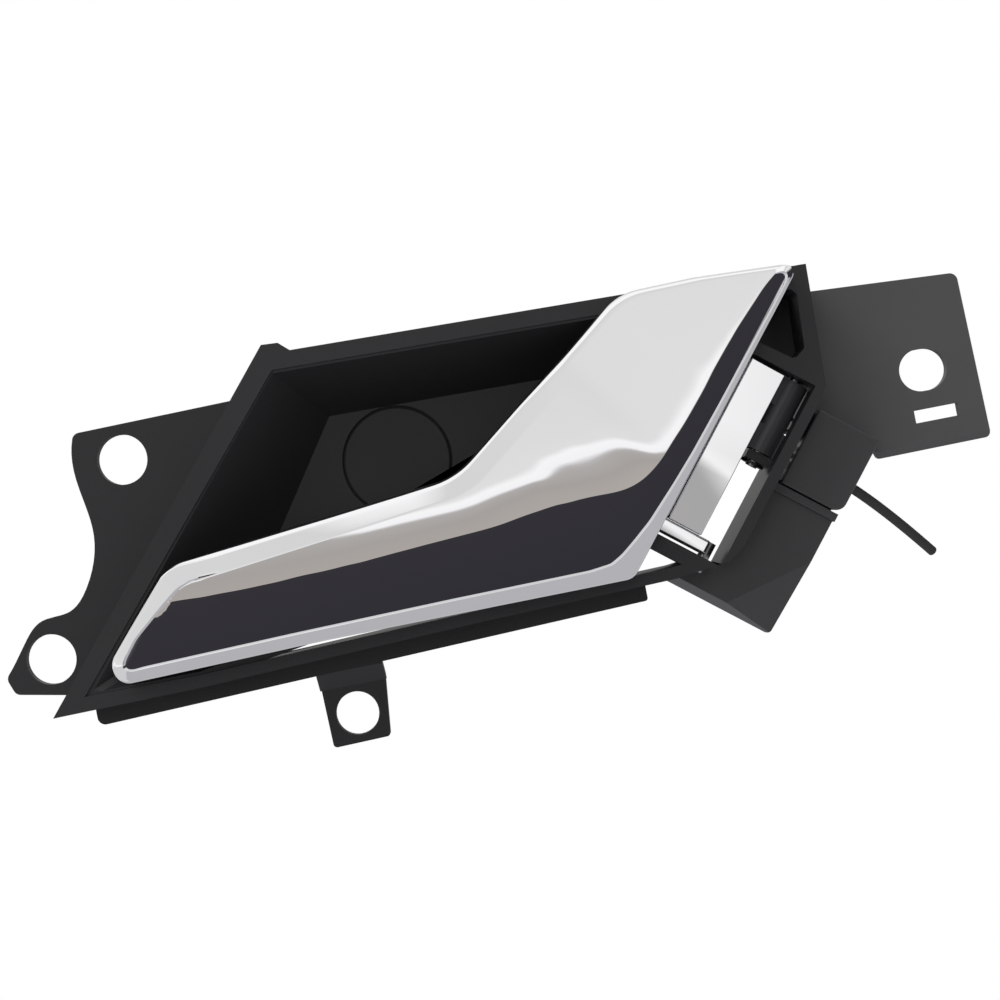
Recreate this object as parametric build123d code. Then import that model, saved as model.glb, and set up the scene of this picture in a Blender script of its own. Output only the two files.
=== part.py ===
from build123d import *
import math
import os

# Frame: millimetres, +X along the housing, +Z up, -Y out of the door towards the hand
# The origin is the axis of the upper ear hole on the rear face of the ear

# Main depths along Y
rim_y = -21.0
ear_front_y = -2.5
floor_front_y = -3.0
floor_back_y = -0.6
lip_front_y = -4.5
lip_back_y = -2.5
pocket_floor_y = -8.2
plate_clear_y = -3.2

# Housing sizes
skirt_wall = 2.0
bowl_wall = 2.0
band_thick = 2.2
ear_corner_r = 1.6
ear_hole_r = 5.0
lower_ear_hole = (-21.4, -36.3)
tab_hole_r = 4.3
tab_hole = (36.3, -58.4)
ramp_x = (29.8, 43.2)
cap_centre = (53.7, -10.6)
cap_r = 10.6
cap_groove = 0.35
cap_recess = 1.3
cap_bore_r = 7.6

# Lever sizes
lever_ridge_y = -29.7
lever_back_y = -22.0
lever_rim_height = 1.1
lever_wall = 1.8
lever_roof = 2.0
back_cover_thick = 1.4
back_cover_gap = 0.15
back_cover_recess = 0.4
arm_front_y = -19.0
arm_back_y = -15.6
arm_dip = 1.9
arm_dip_width = 7.2

# Hinge line: a point on it and its slope above +X
hinge_x = 120.8
hinge_y = -13.0
hinge_z = -25.4
hinge_slope = 51.3
pin_r = 1.2
pin_run_gap = 0.05
knuckle_r = 2.9
hood_r = 2.3
hood_edge = 0.5
open_angle = 35.0
end_gap = 0.2

# Stations along the hinge line
web_lo = 1.6
web_hi = 3.4
crank_hi = 8.8
spring_hi = 12.9
barrel_hi = 18.6
rib_lo = 19.2
rib_hi = 22.0
arm_lo = -16.0
arm_hi = 18.5
cheek_lo = -19.0
wall_lo = -19.6

# Stations across the hinge line, positive to the right
partition_lo = -14.6
partition_hi = -12.4
frame_wall_in = 3.1
frame_wall = 2.3
arm_right = -2.8

# Pins and clip
pin_top = 21.8
pin_foot = 0.5
lower_pin_lo = -22.4
clip_lo = 0.85
clip_thick = 0.5
clip_r = 2.4

# Return spring
spring_wire_r = 0.36
spring_mean_r = 1.75
spring_turns = 3.0
spring_gap = 0.35
spring_leg = 6.5
spring_frame_leg = 4.8
spring_hole_gap = 0.12
spring_sides = 8

# Crank, nipple and pull wire
wire_s = 6.7
wire_y = -5.2
nipple_r = 1.5
nipple_len = 4.4
nipple_gap = 0.18
wire_r = 0.6
wire_end = 15.4
crank_reach = 10.4
crank_half = 3.1
slot_floor = 6.0

# Cable and its ferrule
cable_r = 1.0
ferrule_r = 2.2
ferrule_lo = 8.8
ferrule_seat = 16.2
ferrule_hi = 20.7
cable_corner = 24.6
cable_end = (156.7, 8.0, -49.2)

# Cable cover and guard
cover_s = (0.6, 16.8)
cover_n = (6.9, 20.2)
cover_front_y = -11.0
guard_s = (-26.7, 0.3)
guard_n = (5.8, 19.6)
guard_front_y = -9.0
base_front_y = -2.5
box_wall = 1.6
guard_wall = 2.2
guard_bevel = (-24.4, 9.2, 13.8, 10.2)
guard_bevel_angle = 25.0
guard_edge = 1.6
guard_edge_angle = 74.0
cutter_size = 120.0

# End plate
plate_front_y = -3.0
plate_hole = (159.6, -12.8)
plate_hole_r = 4.2
plate_hole_reach = 1.1
plate_slot = (160.7, -21.8)
plate_slot_size = (8.9, 2.5)
plate_bevel = 1.6
plate_bevel_x = (146.0, 172.0)

# Screws
screw_r = 1.2
screw_head_r = 2.4
screw_head = 1.5
screw_socket_r = 1.3
plate_screw_seat_y = -1.6
plate_screws = [(127.0, 3.6), (131.8, 0.6)]
plate_screw_tip_y = -7.2
carrier_screws = [(-8.0, -7.4), (15.8, -7.4)]
cover_screw_at = (13.4, 13.6)
cover_screw_tip_y = -8.0
guard_screw_at = (-13.0, 12.4)
guard_screw_tip_y = -6.6


def hinge_point(s, n, y=0.0):
    """Turns stations along and across the hinge line into X, Y, Z."""
    c = math.cos(math.radians(hinge_slope))
    k = math.sin(math.radians(hinge_slope))
    return (hinge_x + s * c + n * k, y, hinge_z + s * k - n * c)


def flat(s, n):
    """Gives the X and Z of a station beside the hinge line."""
    x, _, z = hinge_point(s, n)
    return (x, z)


def hinge_dir():
    c = math.cos(math.radians(hinge_slope))
    k = math.sin(math.radians(hinge_slope))
    return (c, 0.0, k)


def across_dir():
    c = math.cos(math.radians(hinge_slope))
    k = math.sin(math.radians(hinge_slope))
    return (k, 0.0, -c)


def level(y):
    """A drawing plane facing the viewer at the depth y."""
    return Plane(origin=(0, y, 0), x_dir=(1, 0, 0), z_dir=(0, -1, 0))


def prism(face, near, far):
    """Extrudes a face drawn in X and Z from the depth far up to near."""
    return extrude(level(far) * face, amount=far - near, dir=(0, -1, 0))


def outline(points, radii=None):
    """Closed straight outline with a fillet radius at each point that needs one."""
    face = Polygon(*points, align=None)
    if radii:
        for point, radius in zip(points, radii):
            if radius > 0:
                corner = face.vertices().sort_by_distance((point[0], point[1], 0))[0]
                face = fillet(corner, radius)
    return face


def hinge_rect(s0, s1, n0, n1):
    return outline([flat(s0, n0), flat(s1, n0), flat(s1, n1), flat(s0, n1)])


def hinge_box(s0, s1, n0, n1, near, far):
    return prism(hinge_rect(s0, s1, n0, n1), near, far)


def rod(start, end, radius):
    """Cylinder between two points."""
    a = Vector(*start)
    b = Vector(*end)
    along = b - a
    plane = Plane(origin=a, z_dir=along)
    return extrude(plane * Circle(radius), amount=along.length)


def hinge_rod(s0, s1, radius, n=0.0, y=None):
    depth = hinge_y if y is None else y
    return rod(hinge_point(s0, n, depth), hinge_point(s1, n, depth), radius)


def across_rod(n0, n1, radius, s=None, y=None):
    """Cylinder square to the hinge line, by default on the line of the pull wire."""
    at = wire_s if s is None else s
    depth = wire_y if y is None else y
    return rod(hinge_point(at, n0, depth), hinge_point(at, n1, depth), radius)


def along_y(x, z, near, far, radius):
    return rod((x, far, z), (x, near, z), radius)


# Outlines of the housing
rim_points = [
    (-19.1, -46.8),
    (33.2, 15.4),
    (36.4, 15.2),
    (38.4, 13.4),
    (137.8, 10.8),
    (137.2, -12.7),
    (135.1, -15.9),
    (116.3, -39.5),
    (112.9, -42.0),
    (102.3, -43.3),
    (64.0, -44.3),
    (9.5, -46.4),
]
band_inner_points = [
    (-12.4, -43.9),
    (34.4, 10.3),
    (131.6, 8.0),
    (132.4, -11.2),
    (108.5, -40.3),
    (102.0, -41.0),
    (64.0, -42.0),
    (9.5, -44.0),
]
bowl_top_points = [
    (-11.4, -43.2),
    (34.0, 10.0),
    (110.0, 8.2),
    flat(-17.0, partition_lo),
    (9.5, -43.6),
    (-9.8, -43.7),
]
bowl_floor_points = [
    (22.0, -29.0),
    (42.1, 0.6),
    (107.0, -0.7),
    flat(-12.0, partition_lo),
    (24.0, -36.0),
    (20.5, -34.0),
]
pocket_points = [
    (134.0, 6.6),
    (135.1, 5.4),
    (134.5, -4.9),
    (132.3, -6.6),
    (118.0, 3.9),
    (118.0, 7.0),
]
plate_points = [
    (124.5, 7.7),
    (169.7, 4.9),
    (170.4, -28.4),
    (147.6, -28.6),
    (146.3, -24.8),
    (136.8, -17.2),
    (134.0, -11.5),
    (124.5, -1.4),
]
lever_points = [
    (135.6, 10.7),
    (116.0, 11.9),
    (101.4, 11.8),
    (64.7, -16.3),
    (9.1, -22.4),
    (-4.9, -38.4),
    (-3.7, -42.6),
    (36.0, -41.6),
    (93.9, -41.3),
]
lever_radii = [1.8, 0.0, 12.0, 16.0, 7.0, 2.4, 1.6, 0.0, 3.0]

# Inner line of the raised rim, which runs out over the upper edge
rim_inner_points = [
    (131.0, 8.0),
    (92.4, -38.6),
    (36.0, -39.0),
    (-1.2, -40.0),
    (11.5, -25.3),
    (15.0, -10.0),
    (90.0, 20.0),
    (131.0, 20.0),
]

# Sections of the crowned face: ends, share of the ridge, drops at low end, ridge and high end
crown_sections = [
    ((-9.0, -47.0), (-9.0, -18.0), 0.52, (0.9, 0.9, 3.6)),
    ((16.0, -46.0), (16.0, -18.0), 0.60, (0.0, 0.0, 3.2)),
    ((60.0, -45.0), (60.0, -13.5), 0.55, (0.0, 0.0, 3.6)),
    ((88.0, -45.0), (69.0, -8.5), 0.54, (0.0, 0.0, 4.6)),
    ((103.0, -34.0), (79.0, -1.0), 0.28, (0.0, 0.0, 5.4)),
    ((125.0, -9.0), (97.0, 15.0), 0.24, (0.2, 0.0, 5.6)),
    ((137.0, 6.0), (118.0, 18.0), 0.30, (0.4, 0.3, 3.6)),
    ((141.0, 12.0), (131.0, 21.0), 0.30, (1.0, 0.8, 2.6)),
]


def ear_outline():
    """Ear with a wavy left edge and rounded corners."""
    edge = Spline(
        (-8.6, 6.9),
        (-9.7, -2.8),
        (-8.4, -13.2),
        (-11.7, -23.5),
        (-16.1, -27.7),
        (-21.9, -28.5),
        (-26.2, -32.5),
        (-30.9, -38.4),
    )
    low = Polyline((-30.9, -38.4), (-29.6, -41.9), (-16.0, -44.6))
    back = Polyline((-16.0, -44.6), (-6.0, -34.0), (28.0, 4.0), (30.9, 7.5))
    top = Line((30.9, 7.5), (-8.6, 6.9))
    face = make_face(Curve() + edge + low + back + top)
    for x, z in [(-8.6, 6.9), (-30.9, -38.4), (-29.6, -41.9)]:
        corner = face.vertices().sort_by_distance((x, z, 0))[0]
        face = fillet(corner, ear_corner_r)
    return face


def grow(points, amount):
    """The outline moved outwards by the amount, with sharp corners."""
    return offset(Polygon(*points, align=None), amount, kind=Kind.INTERSECTION)


def funnel(top_face, floor_face, top_y, floor_y):
    """Straight-sided solid between an outline at the mouth and one at the floor."""
    return loft([level(floor_y) * floor_face, level(top_y) * top_face], ruled=True)


def side_prism(points, x0, x1):
    """Extrudes an outline given as Y and Z along X."""
    side = Plane(origin=(x0, 0, 0), x_dir=(0, 1, 0), z_dir=(1, 0, 0))
    return extrude(side * Polygon(*points, align=None), amount=x1 - x0, dir=(1, 0, 0))


def make_ramp():
    """Sloped link from the lip down to the screw tab."""
    profile = [
        (-46.0, lip_front_y),
        (-49.4, lip_front_y),
        (-52.8, -2.0),
        (-52.8, 0.0),
        (-51.6, 0.0),
        (-48.8, lip_back_y),
        (-46.0, lip_back_y),
    ]
    return side_prism([(y, z) for z, y in profile], ramp_x[0], ramp_x[1])


def make_housing():
    rim = Polygon(*rim_points, align=None)
    block = prism(rim, rim_y, 0)
    inside = offset(rim, -skirt_wall, kind=Kind.INTERSECTION)
    body = prism(rim, rim_y, -0.5) - prism(inside, rim_y - 1, 1)
    band_hole = Polygon(*band_inner_points, align=None)
    body += prism(rim, rim_y, rim_y + band_thick) - prism(band_hole, rim_y - 1, 1)

    # Sloped bowl
    bowl_top = Polygon(*bowl_top_points, align=None)
    bowl_floor = Polygon(*bowl_floor_points, align=None)
    inner = funnel(bowl_top, bowl_floor, rim_y, floor_front_y)
    wide_top = grow(bowl_top_points, bowl_wall)
    wide_floor = grow(bowl_floor_points, bowl_wall)
    body += funnel(wide_top, wide_floor, rim_y + 0.5, floor_back_y) & block
    body -= inner
    body -= prism(bowl_top, rim_y - 2, rim_y + 0.02)

    # Ear, lip and tab
    body += prism(ear_outline(), ear_front_y, 0) - inner
    lip_points = [(-14.2, -51.0), (97.2, -47.3), (97.2, -41.6), (-14.2, -44.8)]
    lip = outline(lip_points, [1.6, 0.6, 0, 0])
    body += prism(lip, lip_front_y, lip_back_y) - inner
    tab_points = [(30.1, -52.6), (43.1, -52.6), (41.9, -64.1), (30.4, -64.4)]
    body += prism(outline(tab_points, [0, 0, 0.8, 0.8]), -2.0, 0)
    body += make_ramp()

    # Floor of the upper right corner with its pocket, and the rib above the hinge
    corner = prism(inside, rim_y, plate_clear_y) & hinge_box(rib_lo, 60, partition_hi, 40, -40, 5)
    body += corner
    body -= prism(outline(pocket_points, [0.8, 0.8, 0.8, 1.2, 0, 0]), rim_y - 1, pocket_floor_y)

    # Walls round the hinge opening
    body -= hinge_box(wall_lo, rib_lo, partition_hi, frame_wall_in, rim_y - 1, 1)
    wall_out = frame_wall_in + frame_wall
    right_wall = hinge_box(-21.5, rib_hi, frame_wall_in, wall_out, rim_y, base_front_y)
    body += right_wall & block
    low_wall = hinge_box(wall_lo - 3.0, wall_lo, partition_lo, wall_out, rim_y, base_front_y)
    body += low_wall & block
    partition = hinge_box(wall_lo, rib_hi, partition_lo, partition_hi, -14.2, floor_back_y)
    body += partition & block
    body -= hinge_box(wall_lo + 0.01, rib_lo, partition_lo - 12.0, partition_hi, rim_y - 1, -14.2)

    # Web that carries the lower end of the upper pin
    body += hinge_box(web_lo, web_hi, -2.0, frame_wall_in + 0.5, hinge_y - 1.8, -8.5)

    # Base for the cable cover and the guard
    base = hinge_box(guard_s[0] + 0.4, cover_s[1] - 0.2, 7.0, guard_n[1] - 0.3, base_front_y, 0)
    bridge = hinge_box(-21.0, web_lo, frame_wall_in, 7.5, base_front_y, 0)
    bridge_high = hinge_box(10.4, cover_s[1] - 0.2, frame_wall_in, 7.5, base_front_y, 0)
    body += base + bridge + bridge_high

    # Window for the crank and the wire, and the cradle of the ferrule
    body -= hinge_box(web_hi, 10.2, frame_wall_in - 0.5, 6.8, -14.5, 1)
    cradle = hinge_box(wire_s - 3.2, wire_s + 3.2, 12.0, 15.0, wire_y, base_front_y)
    body += cradle
    body -= across_rod(11.0, 16.0, ferrule_r)

    # Holes of the ear and the tab
    for x, z in [(0.0, 0.0), lower_ear_hole]:
        body -= along_y(x, z, -8, 3, ear_hole_r)
    body -= along_y(tab_hole[0], tab_hole[1], -4, 1, tab_hole_r)

    # Seat of the screw cap
    x, z = cap_centre
    body += along_y(x, z, floor_front_y, 0, cap_r + 2.2) - inner
    body -= along_y(x, z, floor_front_y - 1, floor_front_y + cap_recess, cap_r + cap_groove)
    body -= along_y(x, z, floor_front_y - 1, 1, cap_bore_r)

    # Hole for the spring's leg
    coil = spring_coil()
    end = coil @ 1
    way = coil % 1
    tip = end + way * (spring_frame_leg + spring_hole_gap)
    body -= rod(end, tip, spring_wire_r + spring_hole_gap)

    # Pin holes
    body -= hinge_rod(web_lo - 1, pin_top, pin_r)
    body -= hinge_rod(-24.5, wall_lo + 1, pin_r)

    # Room for the end plate, and holes for the screws that come from behind
    body -= prism(grow(plate_points, 0.2), plate_clear_y, 1)
    for x, z in plate_screws:
        body -= along_y(x, z, plate_screw_tip_y - 0.4, 0, screw_r)
    for st, n in [cover_screw_at, guard_screw_at]:
        x, _, z = hinge_point(st, n)
        body -= along_y(x, z, base_front_y - 1, 1, screw_r + 0.2)
    return body


def make_cap():
    x, z = cap_centre
    back = floor_front_y + cap_recess
    cap = along_y(x, z, floor_front_y - 0.3, back, cap_r)
    cap = chamfer(cap.faces().sort_by(Axis.Y)[0].edges(), 0.3)
    skirt = along_y(x, z, back, 1.6, cap_bore_r - 0.1) - along_y(x, z, back, 3, cap_bore_r - 1.3)
    return cap + skirt


def lever_face(inset=0.0):
    face = outline(lever_points, lever_radii)
    if inset:
        face = offset(face, -inset, kind=Kind.INTERSECTION)
    return face


def crown(lift=0.0):
    """Solid under the lever's crowned face, lofted along the lever."""
    sections = []
    for low, high, ridge, drops in crown_sections:
        width = math.dist(low, high)
        dx = (high[0] - low[0]) / width
        dz = (high[1] - low[1]) / width
        plane = Plane(origin=(low[0], lever_ridge_y - lift, low[1]), x_dir=(dx, 0, dz), z_dir=(dz, 0, -dx))
        middle = (1 + ridge) / 2
        bulge = (0.62 * drops[1] + 0.38 * drops[2]) if drops[2] > drops[1] else drops[1]
        points = [(0, -14), (0, -drops[0]), (ridge * width, -drops[1])]
        points += [(middle * width, -bulge), (width, -drops[2]), (width, -14)]
        sections.append(plane * Polygon(*points, align=None))
    return loft(sections, ruled=True)


def make_lever():
    """Hollow chromed lever with a crowned face, a raised rim and a root arm."""
    front = lever_ridge_y - lever_rim_height - 2
    body = prism(lever_face(), front, lever_back_y) & crown()
    dish = Polygon(*rim_inner_points, align=None)
    rim = prism(lever_face(), front, lever_back_y) - prism(dish, front - 1, lever_back_y + 1)
    body += rim & crown(lever_rim_height)
    body -= prism(lever_face(lever_wall), front, lever_back_y + 1) & crown(-lever_roof)

    # Root arm that reaches back to the hinge, its visible strip sloped to the light
    arm = hinge_box(arm_lo, arm_hi, -20.0, arm_right, arm_front_y, arm_back_y)
    arm -= arm_slope()
    riser = hinge_box(arm_lo, arm_hi, -20.0, -13.2, front, arm_front_y + 1.5)
    body += arm + (riser & prism(lever_face(0.4), front, 1) & crown(-1.0))

    # Lower cheek with the pin hole
    cheek = hinge_box(cheek_lo, arm_lo + 0.3, -11.8, 0.0, arm_front_y + 1.6, hinge_y + knuckle_r)
    cheek += hinge_box(cheek_lo, arm_lo + 0.3, -17.0, -11.0, arm_front_y + 1.6, arm_back_y)
    cheek += hinge_rod(cheek_lo, arm_lo + 0.3, knuckle_r)
    body += cheek
    body -= hinge_rod(cheek_lo - 1, arm_lo + 2, pin_r + pin_run_gap)
    for st, n in carrier_screws:
        x, _, z = hinge_point(st, n)
        body -= along_y(x, z, arm_front_y + arm_dip, arm_back_y + 1, screw_r)
    return body


def arm_slope():
    """Wedge cut from the arm's front between the lever and its right edge."""
    left = arm_right - arm_dip_width
    points = [
        (arm_right + 1, arm_front_y - 1),
        (arm_right + 1, arm_front_y - arm_dip / arm_dip_width),
        (left, arm_front_y + arm_dip),
        (left - 3.0, arm_front_y + arm_dip),
        (left - 3.0, arm_front_y - 1),
    ]
    plane = Plane(origin=hinge_point(arm_lo - 1, 0), x_dir=across_dir(), z_dir=hinge_dir())
    return extrude(plane * Polygon(*points, align=None), amount=arm_hi - arm_lo + 2)


def make_back_cover():
    """Closing plate inside the lever's hollow."""
    near = lever_back_y - back_cover_thick - back_cover_recess
    cover = prism(lever_face(lever_wall + back_cover_gap), near, near + back_cover_thick)
    cover &= crown(-lever_roof - back_cover_gap)
    return cover - hinge_box(arm_lo - 0.2, arm_hi + 0.2, -20.2, 20, -60, 10)


def section_plane(s):
    """Plane square to the hinge line, its x across the line and its y into the door."""
    return Plane(origin=hinge_point(s, 0, hinge_y), x_dir=across_dir(), z_dir=hinge_dir())


def make_carrier():
    """Black carrier under the arm, with the two knuckles and the crank."""
    lo = web_hi + end_gap
    back_y = hinge_y + 1.2
    body = hinge_box(-12.0, barrel_hi, -11.8, -3.2, arm_back_y, back_y)
    body += hinge_box(lo, crank_hi, -4.0, 0.0, arm_back_y + 0.2, back_y)
    body += hinge_box(spring_hi + 0.1, barrel_hi, -4.0, 0.0, arm_back_y + 0.2, back_y)
    body += hinge_rod(lo, crank_hi, knuckle_r)
    body += hinge_rod(spring_hi + 0.1, barrel_hi, knuckle_r)

    # Hood in front of the spring
    hood = hinge_rod(crank_hi, spring_hi + 0.1, knuckle_r) - hinge_rod(crank_hi - 1, spring_hi + 1, hood_r)
    front = hinge_y - knuckle_r - 1
    body += hood & hinge_box(crank_hi, spring_hi + 0.1, -4.0, 4.0, front, hinge_y - hood_edge)

    # Crank arm, which leans half of the travel to the cable side at rest
    length = crank_hi - lo
    turn = Rot(0, 0, -open_angle / 2)
    blade = turn * Rectangle(2 * crank_half, crank_reach, align=(Align.CENTER, Align.MIN))
    body += extrude(section_plane(lo) * blade, amount=length, dir=hinge_dir())
    slot_half = nipple_r + nipple_gap
    slot = turn * Pos(0, slot_floor) * Rectangle(2 * slot_half, 9, align=(Align.CENTER, Align.MIN))
    body -= extrude(section_plane(lo - 1) * slot, amount=length + 2, dir=hinge_dir())
    slit = turn * Pos(0, slot_floor - 0.2) * Rectangle(9, 9, align=(Align.MIN, Align.MIN))
    body -= extrude(section_plane(wire_s - 1.0) * slit, amount=2.0, dir=hinge_dir())
    body -= hinge_rod(lo - 1, barrel_hi + 1, pin_r + pin_run_gap)
    for st, n in carrier_screws:
        x, _, z = hinge_point(st, n)
        body -= along_y(x, z, arm_back_y - 1, back_y + 1, screw_r + 0.15)
    return body


def spring_coil():
    height = spring_hi - crank_hi - 2 * (spring_wire_r + spring_gap)
    start = section_plane(crank_hi + spring_wire_r + spring_gap)
    coil = Helix(height / spring_turns, height, spring_mean_r, lefthand=True)
    return start.location * Rot(0, 0, 90) * coil


def make_spring():
    """Torsion spring round the upper pin, one leg on the carrier and one on the frame."""
    coil = spring_coil()
    first = coil @ 0
    last = coil @ 1
    carrier_leg = Line(first - (coil % 0) * spring_leg, first)
    frame_leg = Line(last, last + (coil % 1) * spring_frame_leg)
    path = Wire([carrier_leg.edge(), *coil.edges(), frame_leg.edge()])
    profile = Plane(origin=path @ 0, z_dir=path % 0) * RegularPolygon(spring_wire_r, spring_sides)
    return sweep(profile, path=path, is_frenet=True)


def make_upper_pin():
    pin = hinge_rod(pin_foot, pin_top - 0.2, pin_r)
    clip_hi = clip_lo + clip_thick
    groove = hinge_rod(clip_lo, clip_hi, pin_r + 1) - hinge_rod(clip_lo, clip_hi, pin_r - 0.3)
    return pin - groove


def make_clip():
    """Retaining clip with one open side."""
    ring = hinge_rod(clip_lo, clip_lo + clip_thick, clip_r)
    ring -= hinge_rod(clip_lo - 1, clip_lo + 1, pin_r - 0.3)
    gap = hinge_box(clip_lo - 1, clip_lo + 1, -0.8, 0.8, hinge_y, hinge_y + 4)
    return ring - gap


def make_nipple():
    n0 = (wire_y - hinge_y) * math.tan(math.radians(open_angle / 2))
    half = nipple_len / 2
    body = hinge_rod(wire_s - half, wire_s + half, nipple_r, n0, wire_y)
    return body - across_rod(n0 - 1.0, n0 + 4, wire_r)


def make_wire():
    n0 = (wire_y - hinge_y) * math.tan(math.radians(open_angle / 2))
    return across_rod(n0 - 1.0, wire_end, wire_r)


def make_ferrule():
    body = across_rod(ferrule_lo, ferrule_hi, ferrule_r)
    collar = across_rod(10.6, 11.8, ferrule_r + 0.5) + across_rod(15.2, 16.4, ferrule_r + 0.5)
    body += collar
    body -= across_rod(ferrule_lo - 1, ferrule_seat + 0.5, wire_r + 0.15)
    return body - across_rod(ferrule_seat, ferrule_hi + 1, cable_r)


def make_cable():
    start = Vector(*hinge_point(wire_s, ferrule_seat, wire_y))
    corner = Vector(*hinge_point(wire_s, cable_corner, wire_y))
    end = Vector(*cable_end)
    first = (corner - start).length
    second = (end - corner).length
    half_turn = math.radians((corner - start).get_angle(end - corner)) / 2
    bend_r = 0.45 * min(first, second) / math.tan(half_turn)
    path = FilletPolyline(start, corner, end, radius=bend_r)
    print("cable bend radius", round(bend_r, 2), "length", round(path.length, 2))
    profile = Plane(origin=start, z_dir=corner - start) * Circle(cable_r)
    body = sweep(profile, path=path)
    print("cable volume", round(body.volume, 2))
    print("section times length", round(math.pi * cable_r**2 * path.length, 2))
    return body


def make_cover():
    """Hollow cover over the ferrule, open at the back."""
    s0, s1 = cover_s
    n0, n1 = cover_n
    back = base_front_y - 0.05
    corners = [flat(s0, n0), flat(s1, n0), flat(s1, n1), flat(s0, n1)]
    body = prism(outline(corners, [0.6, 0.6, 0.8, 2.2]), cover_front_y, back)
    body = fillet(body.faces().sort_by(Axis.Y)[0].edges(), 0.4)
    roof = cover_front_y + box_wall
    body -= hinge_box(s0 + box_wall, s1 - box_wall, n0 + box_wall, n1 - box_wall, roof, 1)
    x, _, z = hinge_point(*cover_screw_at)
    body += along_y(x, z, cover_front_y + 1, back, screw_r + 1.3)
    body -= along_y(x, z, cover_screw_tip_y - 0.4, 1, screw_r)
    body -= hinge_box(wire_s - 1.0, wire_s + 1.0, n0 - 1, n0 + box_wall + 1, wire_y - 1.0, 1)
    body -= across_rod(n1 - box_wall - 1, n1 + 1, ferrule_r + 0.1)
    notch = ferrule_r + 0.1
    body -= hinge_box(wire_s - notch, wire_s + notch, n1 - box_wall - 1, n1 + 1, wire_y, 1)
    return body - prism(grow(plate_points, 0.2), plate_clear_y, 1)


def guard_outline():
    s0, s1 = guard_s
    n0, n1 = guard_n
    stations = [(s0, -3.7), (s0, n1), (s1 - 0.7, n1), (s1 - 0.7, n0)]
    stations += [(-13.8, n0), (-18.4, n0 - 1.1), (-26.1, -3.2)]
    return outline([flat(st, n) for st, n in stations], [0, 1.0, 0, 0, 0, 0, 0])


def bevel_cutter(s, n, ds, dn, angle, front):
    """Block that planes off what lies beyond a line at the depth front."""
    size = math.hypot(ds, dn)
    hx, _, hz = hinge_dir()
    ax, _, az = across_dir()
    line = Vector(hx * ds + ax * dn, 0, hz * ds + az * dn) / size
    out = line.cross(Vector(0, -1, 0))
    tilt = math.radians(angle)
    normal = Vector(0, -1, 0) * math.cos(tilt) + out * math.sin(tilt)
    plane = Plane(origin=hinge_point(s, n, front), x_dir=line, z_dir=normal)
    return extrude(plane * Rectangle(cutter_size, cutter_size), amount=cutter_size / 4)


def make_guard():
    """Guard below the cover, with a sloped corner and a sloped lower edge."""
    s0, s1 = guard_s
    n0, n1 = guard_n
    back = base_front_y - 0.05
    body = prism(guard_outline(), guard_front_y, back)
    body -= bevel_cutter(*guard_bevel, guard_bevel_angle, guard_front_y)
    body -= bevel_cutter(s0 + guard_edge, 0.0, 0.0, 1.0, guard_edge_angle, guard_front_y)
    body += hinge_box(s1 - 1.6, s1, n0, n1 + 0.3, guard_front_y - 1.0, back)
    hollow = hinge_box(-22.5, s1 - 3.0, n0 + 1.8, n1 - 2.4, guard_front_y + guard_wall, 1)
    body -= hollow - bevel_cutter(*guard_bevel, guard_bevel_angle, guard_front_y + guard_wall)
    x, _, z = hinge_point(*guard_screw_at)
    body += along_y(x, z, guard_front_y + 1.5, back, screw_r + 1.4)
    return body - along_y(x, z, guard_front_y + 1.8, 1, screw_r)


def make_end_plate():
    """Flat mounting plate behind the right end, with an oblong hole and a slot."""
    body = prism(outline(plate_points, [0, 1.6, 0.8, 1.0, 0, 0, 0, 0]), plate_front_y, 0)
    low = plate_points[3][1]
    front = plate_front_y - 0.2
    bevel = [(front, low + plate_bevel), (front, low - 0.5), (-plate_bevel / 2, low - 0.5)]
    body -= side_prism(bevel, plate_bevel_x[0], plate_bevel_x[1])
    hole = Pos(plate_hole[0], plate_hole[1]) * SlotCenterToCenter(plate_hole_reach, 2 * plate_hole_r)
    body -= prism(hole, plate_front_y - 1, 1)
    slot = Pos(plate_slot[0], plate_slot[1]) * Rectangle(plate_slot_size[0], plate_slot_size[1])
    body -= prism(slot, plate_front_y - 1, 1)
    for x, z in plate_screws:
        body -= along_y(x, z, plate_front_y - 1, 1, screw_r + 0.2)
        body -= along_y(x, z, plate_screw_seat_y, 1, screw_head_r + 0.2)
    return body


def screw(x, z, seat_y, tip_y):
    """Pan head screw with a hexagon socket, its head seated at seat_y and facing the door."""
    head = along_y(x, z, seat_y, seat_y + screw_head, screw_head_r)
    head = chamfer(head.faces().sort_by(Axis.Y)[-1].edges(), 0.4)
    socket = prism(Pos(x, z) * RegularPolygon(screw_socket_r, 6), seat_y + 0.7, seat_y + 3)
    return head + along_y(x, z, tip_y, seat_y, screw_r) - socket


def hinge_screw(station, seat_y, tip_y):
    x, _, z = hinge_point(*station)
    return screw(x, z, seat_y, tip_y)


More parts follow.
